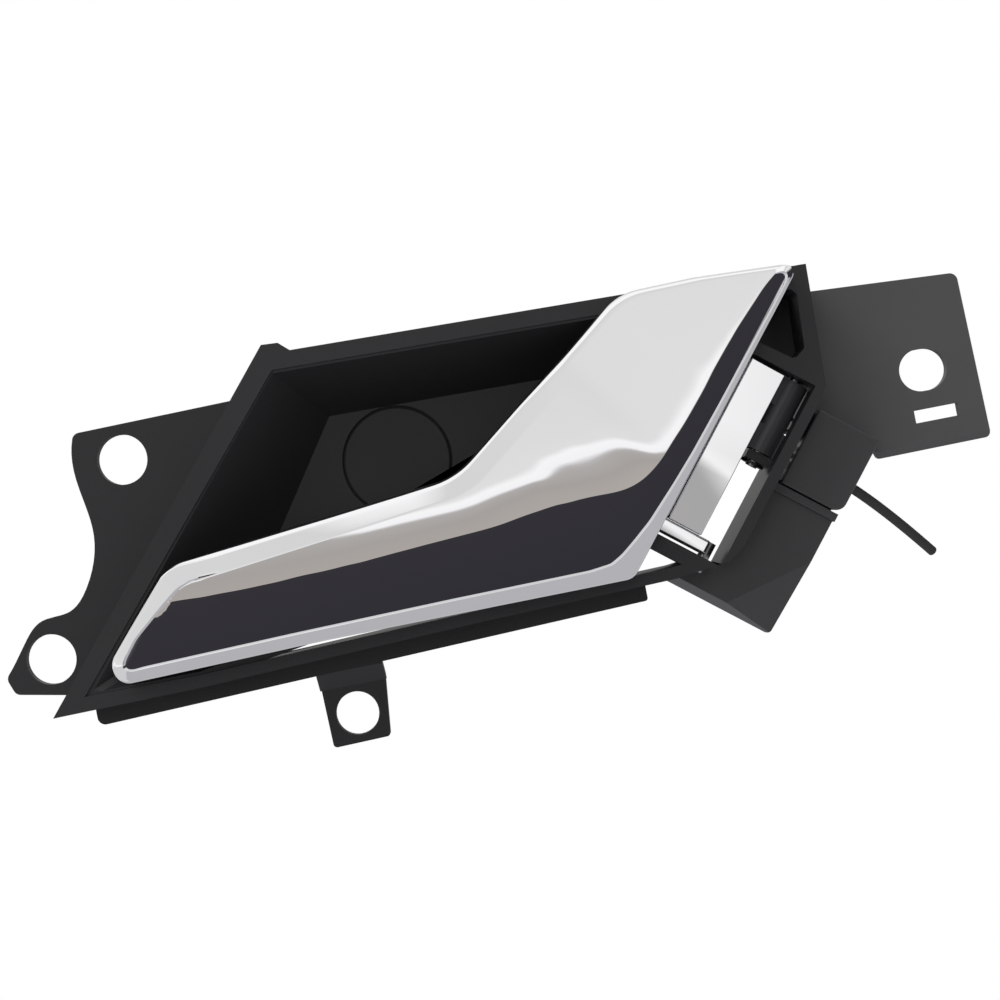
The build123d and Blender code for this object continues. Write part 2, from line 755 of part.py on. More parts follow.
def main():
    os.makedirs("parts", exist_ok=True)
    nodes = {
        "housing": make_housing(),
        "screw_cap": make_cap(),
        "end_plate": make_end_plate(),
        "lever": make_lever(),
        "lever_back_cover": make_back_cover(),
        "lever_carrier": make_carrier(),
        "return_spring": make_spring(),
        "upper_pin": make_upper_pin(),
        "lower_pin": hinge_rod(lower_pin_lo, arm_lo - 0.2, pin_r),
        "pin_clip": make_clip(),
        "rest_pad": hinge_box(-4.0, 4.0, -14.4, -12.6, arm_back_y + 0.2, -14.2),
        "open_stop": across_rod(partition_hi, -6.7, 2.0, 6.2, -5.0),
        "cable_nipple": make_nipple(),
        "pull_wire": make_wire(),
        "cable_ferrule": make_ferrule(),
        "release_cable": make_cable(),
        "cable_cover": make_cover(),
        "cable_guard": make_guard(),
        "cover_screw": hinge_screw(cover_screw_at, 0.0, cover_screw_tip_y),
        "guard_screw": hinge_screw(guard_screw_at, 0.0, guard_screw_tip_y),
    }
    for i, (x, z) in enumerate(plate_screws):
        nodes["plate_screw_%d" % (i + 1)] = screw(x, z, plate_screw_seat_y, plate_screw_tip_y)
    carrier_screw_tip_y = arm_front_y + arm_dip + 0.2
    for i, station in enumerate(carrier_screws):
        nodes["carrier_screw_%d" % (i + 1)] = hinge_screw(station, hinge_y + 1.2, carrier_screw_tip_y)
    for name, shape in nodes.items():
        export_step(shape, "parts/%s.step" % name)


if __name__ == "__main__":
    main()
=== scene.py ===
import math

import bpy
import numpy as np
from mathutils import Matrix, Vector


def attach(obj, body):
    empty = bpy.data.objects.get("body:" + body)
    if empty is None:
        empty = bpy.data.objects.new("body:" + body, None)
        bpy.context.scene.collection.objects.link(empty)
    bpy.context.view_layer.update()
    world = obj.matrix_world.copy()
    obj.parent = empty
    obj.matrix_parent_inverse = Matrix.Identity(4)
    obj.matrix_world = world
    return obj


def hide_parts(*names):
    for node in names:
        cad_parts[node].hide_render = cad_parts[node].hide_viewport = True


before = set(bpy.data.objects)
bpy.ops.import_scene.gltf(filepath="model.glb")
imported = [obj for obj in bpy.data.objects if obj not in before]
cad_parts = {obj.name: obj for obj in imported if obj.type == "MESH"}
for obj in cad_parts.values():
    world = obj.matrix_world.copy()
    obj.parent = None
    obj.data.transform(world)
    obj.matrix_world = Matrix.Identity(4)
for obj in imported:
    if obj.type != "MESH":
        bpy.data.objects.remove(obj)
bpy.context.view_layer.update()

bl_info = {
    "name": "Car interior door handle",
    "version": (1, 0, 0),
    "blender": (4, 5, 0),
    "location": "View3D > Sidebar > Door Handle",
    "description": "Dresses the door handle with its chrome lever, finishes, cable and studio",
    "category": "Object",
}

MM = 0.001

# Hinge line and the stations along and across it, in millimetres
HINGE_POINT = (120.8, -13.0, -25.4)
HINGE_SLOPE = math.radians(51.3)
ALONG = Vector((math.cos(HINGE_SLOPE), 0.0, math.sin(HINGE_SLOPE)))
ACROSS = Vector((math.sin(HINGE_SLOPE), 0.0, -math.cos(HINGE_SLOPE)))

# Route of the release cable: its corners as stations or in millimetres
CABLE_STATION = 6.7
CABLE_DEPTH = -5.2
CABLE_START = 16.2
CABLE_CORNER = 24.6
CABLE_END = (156.7, 8.0, -49.2)

# Outline of the lever seen from the front, in millimetres
LEVER_CORNERS = (
    (135.6, 10.7, 1.8),
    (116.0, 11.9, 0.0),
    (101.4, 11.8, 12.0),
    (64.7, -16.3, 16.0),
    (9.1, -22.4, 7.0),
    (-4.9, -38.4, 3.5),
    (-3.7, -42.6, 2.9),
    (36.0, -41.6, 0.0),
    (93.9, -41.3, 3.0),
)
# Ridge of the lever's face, from the left tip to the right tip
RIDGE_LINE = (
    (-8.0, -28.6),
    (0.0, -29.0),
    (8.0, -29.2),
    (14.2, -29.3),
    (23.6, -29.3),
    (42.6, -28.7),
    (68.6, -27.0),
    (84.3, -24.8),
    (97.2, -25.0),
    (102.2, -21.8),
    (110.4, -12.6),
    (121.2, 0.4),
    (129.6, 9.0),
    (132.8, 10.5),
)
# Matching places on the lower and the upper edge, from the left tip to the right tip
RUNGS = (
    ((-4.0, -42.0), (-4.7, -38.6)),
    ((3.0, -42.4), (0.6, -32.2)),
    ((14.0, -42.2), (10.5, -22.4)),
    ((78.0, -41.4), (62.0, -16.6)),
    ((93.4, -41.2), (75.0, -8.4)),
    ((121.0, -7.2), (101.0, 10.6)),
    ((131.0, 5.0), (122.0, 11.6)),
    ((134.3, 9.0), (132.9, 10.9)),
)

# Raised rim: places on its outer and inner border, its share of the full height and its tilt
RIM_STATIONS = (
    ((20.0, -21.2), (20.4, -25.4), 0.0, 20.0),
    ((11.5, -22.2), (12.6, -26.2), 0.5, 20.0),
    ((7.5, -24.3), (10.2, -27.3), 1.0, 19.0),
    ((4.5, -27.7), (7.0, -29.8), 1.0, 18.0),
    ((-1.2, -34.2), (1.0, -34.8), 1.0, 18.0),
    ((-4.2, -37.8), (-1.6, -38.1), 1.0, 18.0),
    ((-4.9, -39.8), (-2.1, -39.2), 1.0, 18.0),
    ((-4.3, -41.6), (-1.7, -39.9), 1.0, 17.0),
    ((-2.6, -42.6), (-0.7, -40.1), 1.0, 15.0),
    ((1.0, -42.5), (1.4, -39.9), 1.0, 13.5),
    ((30.0, -41.8), (30.0, -39.1), 1.0, 13.5),
    ((60.0, -41.5), (60.0, -38.5), 1.0, 13.5),
    ((86.0, -41.4), (86.0, -38.2), 1.0, 13.5),
    ((92.5, -41.3), (90.2, -37.7), 1.0, 13.5),
    ((95.2, -40.0), (92.6, -36.3), 1.0, 13.5),
    ((97.6, -36.9), (95.2, -34.2), 1.0, 13.5),
    ((100.2, -32.9), (98.7, -31.2), 1.0, 13.5),
    ((105.4, -26.9), (104.7, -24.9), 1.0, 13.5),
    ((109.6, -21.4), (109.0, -20.1), 1.0, 13.5),
    ((116.3, -13.4), (115.8, -12.0), 1.0, 13.5),
    ((127.2, 0.2), (126.6, 1.1), 1.0, 13.5),
    ((132.9, 7.3), (131.7, 7.2), 1.0, 13.5),
    ((135.2, 9.6), (132.3, 8.8), 1.0, 13.5),
    ((134.0, 10.85), (131.6, 9.3), 1.0, 13.5),
    ((130.5, 11.1), (130.0, 9.2), 0.0, 13.5),
)

# Steps along the outlines, in millimetres
OUTLINE_STEP = 0.4
FINE_STEP = 0.1
RUNG_STEP = 0.6

# Numbers of points of a dense edge, of the ridge and of the lever's two ends
DENSE_POINTS = 4000
RIDGE_POINTS = 300
END_POINTS = 400

# Rounds of evening out: the rungs, the ridge, its shares, and the rim's inner border and depth
RUNG_ROUNDS = 30
RIDGE_ROUNDS = 30
SHARE_ROUNDS = 14
BORDER_ROUNDS = 4
DEPTH_ROUNDS = 12

# Shares of a rung where the ridge may cross it
RIDGE_SHARES = np.linspace(0.02, 0.98, 97)

# How fast the curve of an end fades out: over one part in 60 of the lever's rungs
END_FADE = 60

# Rows across the face: distances from the lower and the upper edge, and the numbers between
LOW_ROWS = (0.0, 0.12, 0.3, 0.55, 0.85, 1.2)
HIGH_ROWS = (5.4, 5.0, 4.7, 4.45, 4.2, 3.95, 3.7, 3.3, 2.8, 2.2, 1.7, 1.2, 0.85, 0.55, 0.3, 0.12, 0.0)
ROWS_BELOW_RIDGE = 16
ROWS_ABOVE_RIDGE = 24
# Largest share of a side that the rows near its edge take
EDGE_SHARE = 0.7
# Gap between the ridge and the rows beside it, and its largest share of a narrow side
RIDGE_GAP = 0.12
GAP_SHARE = 0.1

# Slopes of the face above the ridge in degrees: for the place of the rung along the ridge,
# the slopes at the distances from the ridge
UP_DISTANCES = (0.0, 0.7, 1.5, 3.0, 5.0, 6.5, 8.0, 10.0, 12.0, 13.5, 15.0, 45.0)
UP_SLOPES = (
    (0, (2.5, 2.5, 2.5, 2.5, 2.5, 2.5, 2.5, 2.5, 2.5, 2.5, 2.5, 2.5)),
    (13, (2.5, 2.5, 2.5, 2.5, 2.5, 2.5, 2.5, 2.5, 2.5, 2.5, 2.5, 2.5)),
    (18, (5.0, 5.0, 5.1, 5.4, 5.9, 6.3, 6.8, 7.2, 7.6, 7.8, 8.0, 10.0)),
    (46, (5.0, 5.0, 5.1, 5.4, 5.9, 6.3, 6.8, 7.2, 7.6, 7.8, 8.0, 10.0)),
    (58, (5.0, 5.1, 5.2, 5.5, 6.3, 7.6, 9.9, 11.2, 11.5, 11.7, 11.9, 12.5)),
    (84, (5.0, 5.1, 5.2, 5.5, 6.5, 7.8, 9.2, 11.0, 11.5, 11.7, 11.9, 12.5)),
    (91, (5.0, 5.1, 5.15, 5.3, 6.3, 8.0, 9.2, 10.4, 11.1, 11.5, 11.8, 12.5)),
    (97, (5.0, 5.1, 5.2, 5.6, 6.4, 6.6, 6.9, 8.4, 10.5, 11.2, 11.7, 12.5)),
    (103, (5.0, 5.0, 5.05, 5.3, 6.2, 6.6, 6.8, 7.1, 8.4, 10.4, 11.4, 12.5)),
    (107, (5.0, 5.1, 5.35, 5.95, 6.5, 6.8, 7.0, 8.0, 10.0, 11.1, 11.8, 12.5)),
    (110, (5.4, 5.65, 5.9, 6.4, 6.8, 7.1, 7.8, 9.6, 11.1, 11.7, 12.1, 12.5)),
    (112.5, (6.3, 6.5, 6.7, 7.1, 8.0, 9.2, 10.4, 11.5, 11.9, 12.2, 12.4, 12.5)),
    (115, (9.8, 10.2, 11.0, 11.8, 12.2, 12.3, 12.4, 12.4, 12.5, 12.5, 12.5, 12.6)),
    (170, (10.3, 11.6, 12.4, 12.5, 12.5, 12.5, 12.5, 12.6, 12.6, 12.6, 12.6, 12.6)),
)
# By the place along the ridge: rise just below the ridge in degrees and what it loses per
# millimetre, slope of the upper band in degrees, and drop of the ridge in millimetres
DOWN_RISE = ((0, 2.8), (95, 2.8), (112, 0.0), (170, 0.0))
DOWN_LOSS = ((0, 0.5), (95, 0.5), (112, 0.4), (170, 0.4))
BAND_SLOPE = ((0, 0.0), (13, 0.0), (19, 20.0), (70, 20.0), (95, 6.0), (115, 0.0), (170, 0.0))
CREST_DROP = ((0, 0.3), (12, 0.1), (30, 0.0), (120, 0.0), (150, 0.05), (170, 0.3))
# Number of rungs over which these values are evened out
EVENED_RUNGS = 11
# Factor by which the rounding of the upper edge grows along the ridge
TOP_BEND = ((100.0, 1.0), (116.0, 1.7))
# Step in which the slopes are summed up, in millimetres
FALL_STEP = 0.05

# Width of the flat border of the lever's back and depth of the back inside it
BACK_BORDER = 1.6
BACK_RECESS = 1.2

# Section of the rim: radius of its edges with its largest shares of the width, depths of its
# skirt, foot and keel, and rows of each rounding
RIM_RADIUS = 0.45
OUTSIDE_SHARE = 0.4
INSIDE_SHARE = 0.3
RIM_SKIRT = 1.3
RIM_FOOT = 0.3
RIM_KEEL = 0.9
ROUND_ROWS = 6
# How far the rim overhangs the outline, stays back where it ends, and sinks in there
RIM_OVERHANG = 0.05
RIM_RETREAT = 1.2
RIM_SUNK = 0.1
# Distance in front of the lever from which its face is looked for
LOOK_DISTANCE = 20.0

# Blocks of the root arm: stations along and across the hinge line, and depths
ARM_BLOCK = ((-16.0, 18.5), (-13.4, -2.8), (-20.3, -15.6))
RISER_BLOCK = ((-15.6, 18.1), (-19.6, -13.0), (-25.5, -16.5))
CHEEK_BLOCK = ((-19.0, -16.1), (-11.8, -0.3), (-18.2, -10.4))
# Depth between the front and the back of the blocks
ROOT_MIDDLE = -18.0
# Stations of the arm with the fall of its front on the hinge's side
ARM_DIPS = ((-16.0, 1.05), (-4.5, 1.08), (0.0, 1.58), (6.0, 1.60), (18.5, 1.50))
STATION_GAP = 0.3
ARM_HINGE_SIDE = -3.5
# Stations across the step of the arm beside the lever, and its depth
ARM_STEP = (-10.1, -9.9)
ARM_LEVER_SIDE = -10.0
ARM_STEP_DEPTH = 2.2
# Slope at the back of the riser and at the front of the cheek
RISER_FAR_SIDE = -19.0
RISER_RISE = 2.5
CHEEK_HINGE_SIDE = -1.0
CHEEK_DIP = 1.8
# Smallest angle in degrees of an edge that is rounded
ROUNDED_ANGLE = 28

# Finishes: sheen, cloud and grain of the plastics, with the grain's depth in millimetres,
# and grain of the metals
PLASTIC_SHEEN = 0.42
CLOUD_SCALE = 45.0
CLOUD_DETAIL = 3.0
GRAIN_DETAIL = 2.0
MOTTLE = 0.10
GLOSS_SPREAD = 0.05
GRAIN_DEPTH = 0.05
METAL_GRAIN_SCALE = 900.0
# The carrier is lighter than the housing by this factor
CARRIER_TONE = 2.0
RUBBER_BLACK = (0.012, 0.012, 0.012)
SHEATH_BLACK = (0.048, 0.048, 0.050)
SPRING_BLACK = (0.045, 0.045, 0.047)

# Studio: places and sizes in metres, powers in watts
STUDIO_AIM = Vector((0.07, 0.0, -0.02))
FLOOR_PLACE = (0.07, 0.0, -0.45)
FLOOR_SIZE = 1.2
FLOOR_THICKNESS = 0.01
FLOOR_TONE = (0.80, 0.80, 0.80, 1.0)
LAMPS = (
    ("key_light", (-0.35, -0.55, 0.75), 0.5, 3.9),
    ("fill_light", (0.02, -0.95, 0.12), 0.4, 2.0),
)
# Bands of the surroundings: place from 0, away from a direction, to 1, towards it, with the
# colour and its weight
BAND_DIRECTION = Vector((-0.30, 0.0, 0.95)).normalized()
STUDIO_BANDS = (
    (0.00, (0.50, 0.50, 0.52), 1.0),
    (0.32, (0.46, 0.46, 0.48), 1.0),
    (0.35, (0.030, 0.029, 0.036), 1.0),
    (0.567, (0.036, 0.034, 0.041), 1.0),
    (0.572, (0.47, 0.43, 0.40), 1.0),
    (0.605, (0.40, 0.375, 0.355), 1.0),
    (0.628, (0.45, 0.43, 0.42), 1.0),
    (0.636, (0.95, 0.95, 0.96), 1.0),
    (0.658, (0.98, 0.98, 0.98), 1.0),
    (0.675, (0.78, 0.78, 0.78), 1.0),
    (0.80, (0.72, 0.72, 0.72), 1.0),
    (0.91, (0.70, 0.70, 0.70), 1.0),
    (0.95, (1.00, 1.00, 1.00), 1.0),
)
SIDE_DIRECTION = (1.0, 0.0, 0.0)
SIDE_BANDS = (
    (0.00, (0.64, 0.64, 0.65), 1.0),
    (0.32, (0.64, 0.64, 0.65), 1.0),
    (0.37, (0.64, 0.64, 0.65), 0.0),
    (0.600, (0.42, 0.41, 0.40), 0.0),
    (0.610, (0.42, 0.41, 0.40), 1.0),
    (0.640, (0.40, 0.40, 0.40), 1.0),
    (0.658, (0.96, 0.96, 0.96), 1.0),
    (0.700, (0.80, 0.80, 0.80), 1.0),
    (0.715, (0.80, 0.80, 0.80), 0.0),
)
# The side bands show above these places of the studio bands
SIDE_FADE = (0.318, 0.328)

# Camera of the photograph: its place in metres, its roll as a fall over a run, and its lens
CAMERA_PLACE = (0.0722, -0.420, -0.0222)
ROLL_FALL = 0.03816
ROLL_RUN = 0.19633
FOCAL_PIXELS = 2100.0
PICTURE_PIXELS = 1000.0
SENSOR_WIDTH = 36.0


def hinge_point(s, n, y):
    """Turns stations along and across the hinge line into a place in metres."""
    x = HINGE_POINT[0] + s * ALONG.x + n * ACROSS.x
    z = HINGE_POINT[2] + s * ALONG.z + n * ACROSS.z
    return Vector((x, y, z)) * MM


class HandleSizes(bpy.types.PropertyGroup):
    """Sizes of the lever and the cable"""

    face_front: bpy.props.FloatProperty(
        name="Face ridge depth", description="Depth of the ridge of the lever's face",
        default=-29.7 * MM, unit="LENGTH")
    lever_back: bpy.props.FloatProperty(
        name="Lever back", description="Depth of the back of the lever",
        default=-22.0 * MM, unit="LENGTH")
    rim_height: bpy.props.FloatProperty(
        name="Rim height", description="Height of the raised rim above the face",
        default=0.8 * MM, unit="LENGTH", min=0.0)
    band_width: bpy.props.FloatProperty(
        name="Upper band width", description="Width of the sloped band along the upper edge",
        default=4.2 * MM, unit="LENGTH", min=0.0)
    edge_radius: bpy.props.FloatProperty(
        name="Edge radius", description="Rounding of the lever's outer edge",
        default=1.0 * MM, unit="LENGTH", min=0.0)
    cable_diameter: bpy.props.FloatProperty(
        name="Cable diameter", description="Outer diameter of the release cable",
        default=2.0 * MM, unit="LENGTH", min=0.0)


class HandleFinishes(bpy.types.PropertyGroup):
    """Colours of the handle's pieces"""

    housing_black: bpy.props.FloatVectorProperty(
        name="Housing", description="Colour of the moulded housing",
        default=(0.020, 0.020, 0.0215), subtype="COLOR", size=3, min=0.0, max=1.0)
    plate_black: bpy.props.FloatVectorProperty(
        name="End plate", description="Colour of the mounting plate at the right end",
        default=(0.066, 0.066, 0.068), subtype="COLOR", size=3, min=0.0, max=1.0)
    guard_black: bpy.props.FloatVectorProperty(
        name="Cover and guard", description="Colour of the cable cover and guard",
        default=(0.042, 0.042, 0.044), subtype="COLOR", size=3, min=0.0, max=1.0)
    chrome: bpy.props.FloatVectorProperty(
        name="Chrome", description="Colour of the bright plating",
        default=(0.93, 0.93, 0.94), subtype="COLOR", size=3, min=0.0, max=1.0)
    steel: bpy.props.FloatVectorProperty(
        name="Steel", description="Colour of pins, screws and springs",
        default=(0.50, 0.50, 0.49), subtype="COLOR", size=3, min=0.0, max=1.0)


def deselect_all():
    """Leaves edit mode and selects nothing."""
    if bpy.context.object is not None and bpy.context.object.mode != "OBJECT":
        bpy.ops.object.mode_set(mode="OBJECT")
    bpy.ops.object.select_all(action="DESELECT")


def pick(obj):
    """Selects one object and makes it the active one."""
    deselect_all()
    obj.select_set(True)
    bpy.context.view_layer.objects.active = obj


def settle(obj, name):
    """Names the finished piece and moves its place into its mesh."""
    pick(obj)
    obj.name = name
    obj.data.name = name
    bpy.ops.object.transform_apply(location=True, rotation=True, scale=True)


def apply_modifiers(obj):
    """Turns the modifiers of an object into its mesh, in their order."""
    pick(obj)
    for modifier in list(obj.modifiers):
        bpy.ops.object.modifier_apply(modifier=modifier.name)


def smooth_by_angle(obj, degrees):
    """Smooth shading, with sharp edges where the faces meet at more than the angle."""
    pick(obj)
    bpy.ops.object.shade_smooth_by_angle(angle=math.radians(degrees))


# Finishes


def new_material(name):
    """A new material with its nodes, links and shader."""
    mat = bpy.data.materials.new(name)
    mat.use_nodes = True
    nodes = mat.node_tree.nodes
    return mat, nodes, mat.node_tree.links, nodes["Principled BSDF"]


def add_noise(nodes, links, place, scale, detail):
    """A noise over the piece's own places."""
    noise = nodes.new("ShaderNodeTexNoise")
    noise.inputs["Scale"].default_value = scale
    noise.inputs["Detail"].default_value = detail
    links.new(place.outputs["Object"], noise.inputs["Vector"])
    return noise


def vary_gloss(nodes, links, shader, noise, roughness, spread):
    """Lets a noise vary the roughness of a finish."""
    gloss = nodes.new("ShaderNodeMapRange")
    gloss.inputs["To Min"].default_value = roughness - spread
    gloss.inputs["To Max"].default_value = roughness + spread
    links.new(noise.outputs["Fac"], gloss.inputs["Value"])
    links.new(gloss.outputs["Result"], shader.inputs["Roughness"])


def plastic(name, colour, roughness, grain, grain_size):
    """Moulded plastic with a fine grain and slightly uneven tone."""
    mat, nodes, links, shader = new_material(name)
    shader.inputs["Specular IOR Level"].default_value = PLASTIC_SHEEN
    place = nodes.new("ShaderNodeTexCoord")
    cloud = add_noise(nodes, links, place, CLOUD_SCALE, CLOUD_DETAIL)
    tone = nodes.new("ShaderNodeMix")
    tone.data_type = "RGBA"
    tone.inputs[6].default_value = [c * (1 - MOTTLE) for c in colour] + [1.0]
    tone.inputs[7].default_value = [c * (1 + MOTTLE) for c in colour] + [1.0]
    links.new(cloud.outputs["Fac"], tone.inputs[0])
    links.new(tone.outputs[2], shader.inputs["Base Color"])
    vary_gloss(nodes, links, shader, cloud, roughness, GLOSS_SPREAD)
    fine = add_noise(nodes, links, place, 1.0 / (grain_size * MM), GRAIN_DETAIL)
    bump = nodes.new("ShaderNodeBump")
    bump.inputs["Strength"].default_value = grain
    bump.inputs["Distance"].default_value = GRAIN_DEPTH * MM
    links.new(fine.outputs["Fac"], bump.inputs["Height"])
    links.new(bump.outputs["Normal"], shader.inputs["Normal"])
    return mat


def metal(name, colour, roughness, grain=0.0):
    """Bright or plated metal, with a faint grain if asked for."""
    mat, nodes, links, shader = new_material(name)
    shader.inputs["Base Color"].default_value = list(colour) + [1.0]
    shader.inputs["Metallic"].default_value = 1.0
    shader.inputs["Roughness"].default_value = roughness
    if grain > 0.0:
        place = nodes.new("ShaderNodeTexCoord")
        fine = add_noise(nodes, links, place, METAL_GRAIN_SCALE, GRAIN_DETAIL)
        vary_gloss(nodes, links, shader, fine, roughness, grain)
    return mat


def dress(mat, *nodes):
    """Gives pieces of the frame their finish."""
    for node in nodes:
        materials = bpy.data.objects[node].data.materials
        materials.clear()
        materials.append(mat)


class HANDLE_OT_finishes(bpy.types.Operator):
    """Finishes of the moulded and metal pieces"""

    bl_idname = "handle.finishes"
    bl_label = "Finishes"

    def execute(self, context):
        self.mouldings(context.scene.handle_finishes)
        self.metals(context.scene.handle_finishes)
        return {"FINISHED"}

    def mouldings(self, colours):
        """Black plastics, the rubber of the stops and the sheath of the cable."""
        black = colours.housing_black
        lighter = [CARRIER_TONE * c for c in black]
        housing = plastic("housing_plastic", black, roughness=0.42, grain=0.25, grain_size=0.35)
        cap = plastic("cap_plastic", black, roughness=0.40, grain=0.2, grain_size=0.35)
        plate = plastic("plate_plastic", colours.plate_black, roughness=0.48, grain=0.25, grain_size=0.35)
        guard = plastic("guard_plastic", colours.guard_black, roughness=0.36, grain=0.2, grain_size=0.4)
        carrier = plastic("carrier_plastic", lighter, roughness=0.30, grain=0.15, grain_size=0.4)
        rubber = plastic("pad_rubber", RUBBER_BLACK, roughness=0.7, grain=0.3, grain_size=0.3)
        sheath = plastic("cable_sheath", SHEATH_BLACK, roughness=0.45, grain=0.15, grain_size=0.3)
        dress(housing, "housing")
        dress(cap, "screw_cap")
        dress(plate, "end_plate")
        dress(guard, "cable_cover", "cable_guard")
        dress(carrier, "lever_carrier", "lever_back_cover")
        dress(rubber, "rest_pad", "open_stop")
        dress(sheath, "release_cable")

    def metals(self, colours):
        """Chrome of the lever, bright steel of the small parts and dark spring steel."""
        metal("bright_chrome", colours.chrome, roughness=0.03)
        steel = metal("plated_steel", colours.steel, roughness=0.28, grain=0.06)
        spring = metal("spring_steel", SPRING_BLACK, roughness=0.34, grain=0.06)
        dress(steel, "upper_pin", "lower_pin", "cable_nipple", "pull_wire", "cable_ferrule")
        dress(steel, "cover_screw", "guard_screw", "plate_screw_1", "plate_screw_2")
        dress(steel, "carrier_screw_1", "carrier_screw_2")
        dress(spring, "return_spring", "pin_clip")


# Curves of the lever


def travelled(path):
    """Distance from the start of a path to each of its points."""
    lengths = np.linalg.norm(np.diff(path, axis=0), axis=1)
    return np.concatenate([[0.0], np.cumsum(lengths)])


def places_on(path, distances):
    """Places on a path at the given distances from its start."""
    total = travelled(path)
    return np.column_stack([np.interp(distances, total, path[:, axis]) for axis in (0, 1)])


def resample(path, count):
    """The same open path with evenly spaced points."""
    return places_on(path, np.linspace(0.0, travelled(path)[-1], count))


def resample_closed(path, step):
    """The same closed path with points about one step apart."""
    loop = np.vstack([path, path[:1]])
    length = travelled(loop)[-1]
    return places_on(loop, np.linspace(0.0, length, int(length / step), endpoint=False))


def rounded_corner(before, here, after, radius, step):
    """Points of the arc that rounds the corner between two straight stretches."""
    to_before = (before - here) / np.linalg.norm(before - here)
    to_after = (after - here) / np.linalg.norm(after - here)
    half = math.acos(max(-1.0, min(1.0, float(to_before @ to_after)))) / 2
    reach = radius / math.tan(half)
    middle = (to_before + to_after) / np.linalg.norm(to_before + to_after)
    centre = here + middle * radius / math.sin(half)
    start = here + to_before * reach - centre
    end = here + to_after * reach - centre
    angle = math.atan2(start[0] * end[1] - start[1] * end[0], float(start @ end))
    pieces = max(2, int(abs(angle) * radius / step))
    arc = []
    for k in range(pieces + 1):
        turned = angle * k / pieces
        turn = np.array(((math.cos(turned), -math.sin(turned)), (math.sin(turned), math.cos(turned))))
        arc.append(centre + turn @ start)
    return arc


def rounded_path(corners, step):
    """Closed path through the corners, each rounded by its radius."""
    path = []
    count = len(corners)
    for i in range(count):
        here = np.array(corners[i][:2])
        radius = corners[i][2]
        if radius > 0.0:
            before = np.array(corners[i - 1][:2])
            after = np.array(corners[(i + 1) % count][:2])
            path += rounded_corner(before, here, after, radius, step)
        else:
            path.append(here)
    return resample_closed(np.array(path), step)


def nearest(path, point):
    """Index of the point of a path that is nearest to a place."""
    return int(np.argmin(np.linalg.norm(path - np.array(point), axis=1)))


def walk(path, first, last):
    """The part of a closed path from one index on to another."""
    if last < first:
        return np.vstack([path[first:], path[: last + 1]])
    return path[first : last + 1]


def soften(values, rounds):
    """Evens out a path or a row of values, and keeps its two ends."""
    for _ in range(rounds):
        values[1:-1] = 0.25 * values[:-2] + 0.5 * values[1:-1] + 0.25 * values[2:]
    return values


def even_out(values, rounds):
    """Evens out a row of values, its two ends too."""
    for _ in range(rounds):
        padded = np.concatenate([values[:1], values, values[-1:]])
        values = 0.25 * padded[:-2] + 0.5 * padded[1:-1] + 0.25 * padded[2:]
    return values


def matched_edges():
    """The lower and upper edge of the lever, with one point on each for every rung."""
    path = rounded_path(LEVER_CORNERS, OUTLINE_STEP)
    low_at = [nearest(path, rung[0]) for rung in RUNGS]
    high_at = [nearest(path, rung[1]) for rung in RUNGS]
    low = []
    high = []
    for i in range(len(RUNGS) - 1):
        lower = walk(path, low_at[i], low_at[i + 1])
        upper = walk(path, high_at[i + 1], high_at[i])[::-1]
        length = 0.5 * (len(lower) + len(upper)) * OUTLINE_STEP
        count = max(4, int(length / RUNG_STEP))
        first = 0 if i == 0 else 1
        low.append(resample(lower, count)[first:])
        high.append(resample(upper, count)[first:])
    left = walk(path, high_at[0], low_at[0])[::-1]
    right = walk(path, low_at[-1], high_at[-1])
    return np.vstack(low), np.vstack(high), left, right


def even_rungs(edge):
    """The same edge with its rungs evened out along it."""
    dense = resample(edge, DENSE_POINTS)
    along = travelled(edge)
    steps = even_out(np.diff(along), RUNG_ROUNDS)
    places = np.concatenate([[0.0], np.cumsum(steps)]) * along[-1] / steps.sum()
    full = np.linspace(0.0, places[-1], DENSE_POINTS)
    return np.column_stack([np.interp(places, full, dense[:, axis]) for axis in (0, 1)])


def ridge_share(low, high):
    """Where each rung crosses the ridge, as a share of the rung from the lower edge."""
    ridge = soften(resample(np.array(RIDGE_LINE), RIDGE_POINTS), RIDGE_ROUNDS)
    found = np.zeros(len(low))
    for i in range(len(low)):
        rung = low[i] + RIDGE_SHARES[:, None] * (high[i] - low[i])
        gap = np.linalg.norm(rung[:, None, :] - ridge[None, :, :], axis=2)
        found[i] = RIDGE_SHARES[int(np.argmin(gap.min(axis=1)))]
    return even_out(found, SHARE_ROUNDS)


def between(stations, places):
    """Values at the places, between stations of a place and its value."""
    return np.interp(places, [place for place, _ in stations], [value for _, value in stations])


def even_stations(stations, places):
    """Values at the places, evened out over the neighbouring rungs."""
    values = between(stations, places)
    reach = EVENED_RUNGS // 2
    padded = np.concatenate([np.full(reach, values[0]), values, np.full(reach, values[-1])])
    kernel = np.hanning(EVENED_RUNGS)
    return np.convolve(padded, kernel / kernel.sum(), mode="valid")


def lay_grid(places):
    """Adds a grid with one point for each of the places, which are in metres."""
    columns, rows = places.shape[:2]
    deselect_all()
    bpy.ops.mesh.primitive_grid_add(x_subdivisions=columns - 1, y_subdivisions=rows - 1, size=1.0)
    sheet = bpy.context.object
    flat = np.zeros(len(sheet.data.vertices) * 3)
    sheet.data.vertices.foreach_get("co", flat)
    shares = flat.reshape(-1, 3) + 0.5
    column = np.rint(shares[:, 0] * (columns - 1)).astype(int)
    row = np.rint(shares[:, 1] * (rows - 1)).astype(int)
    sheet.data.vertices.foreach_set("co", places[column, row].reshape(-1))
    sheet.data.update()
    return sheet


# Face of the lever


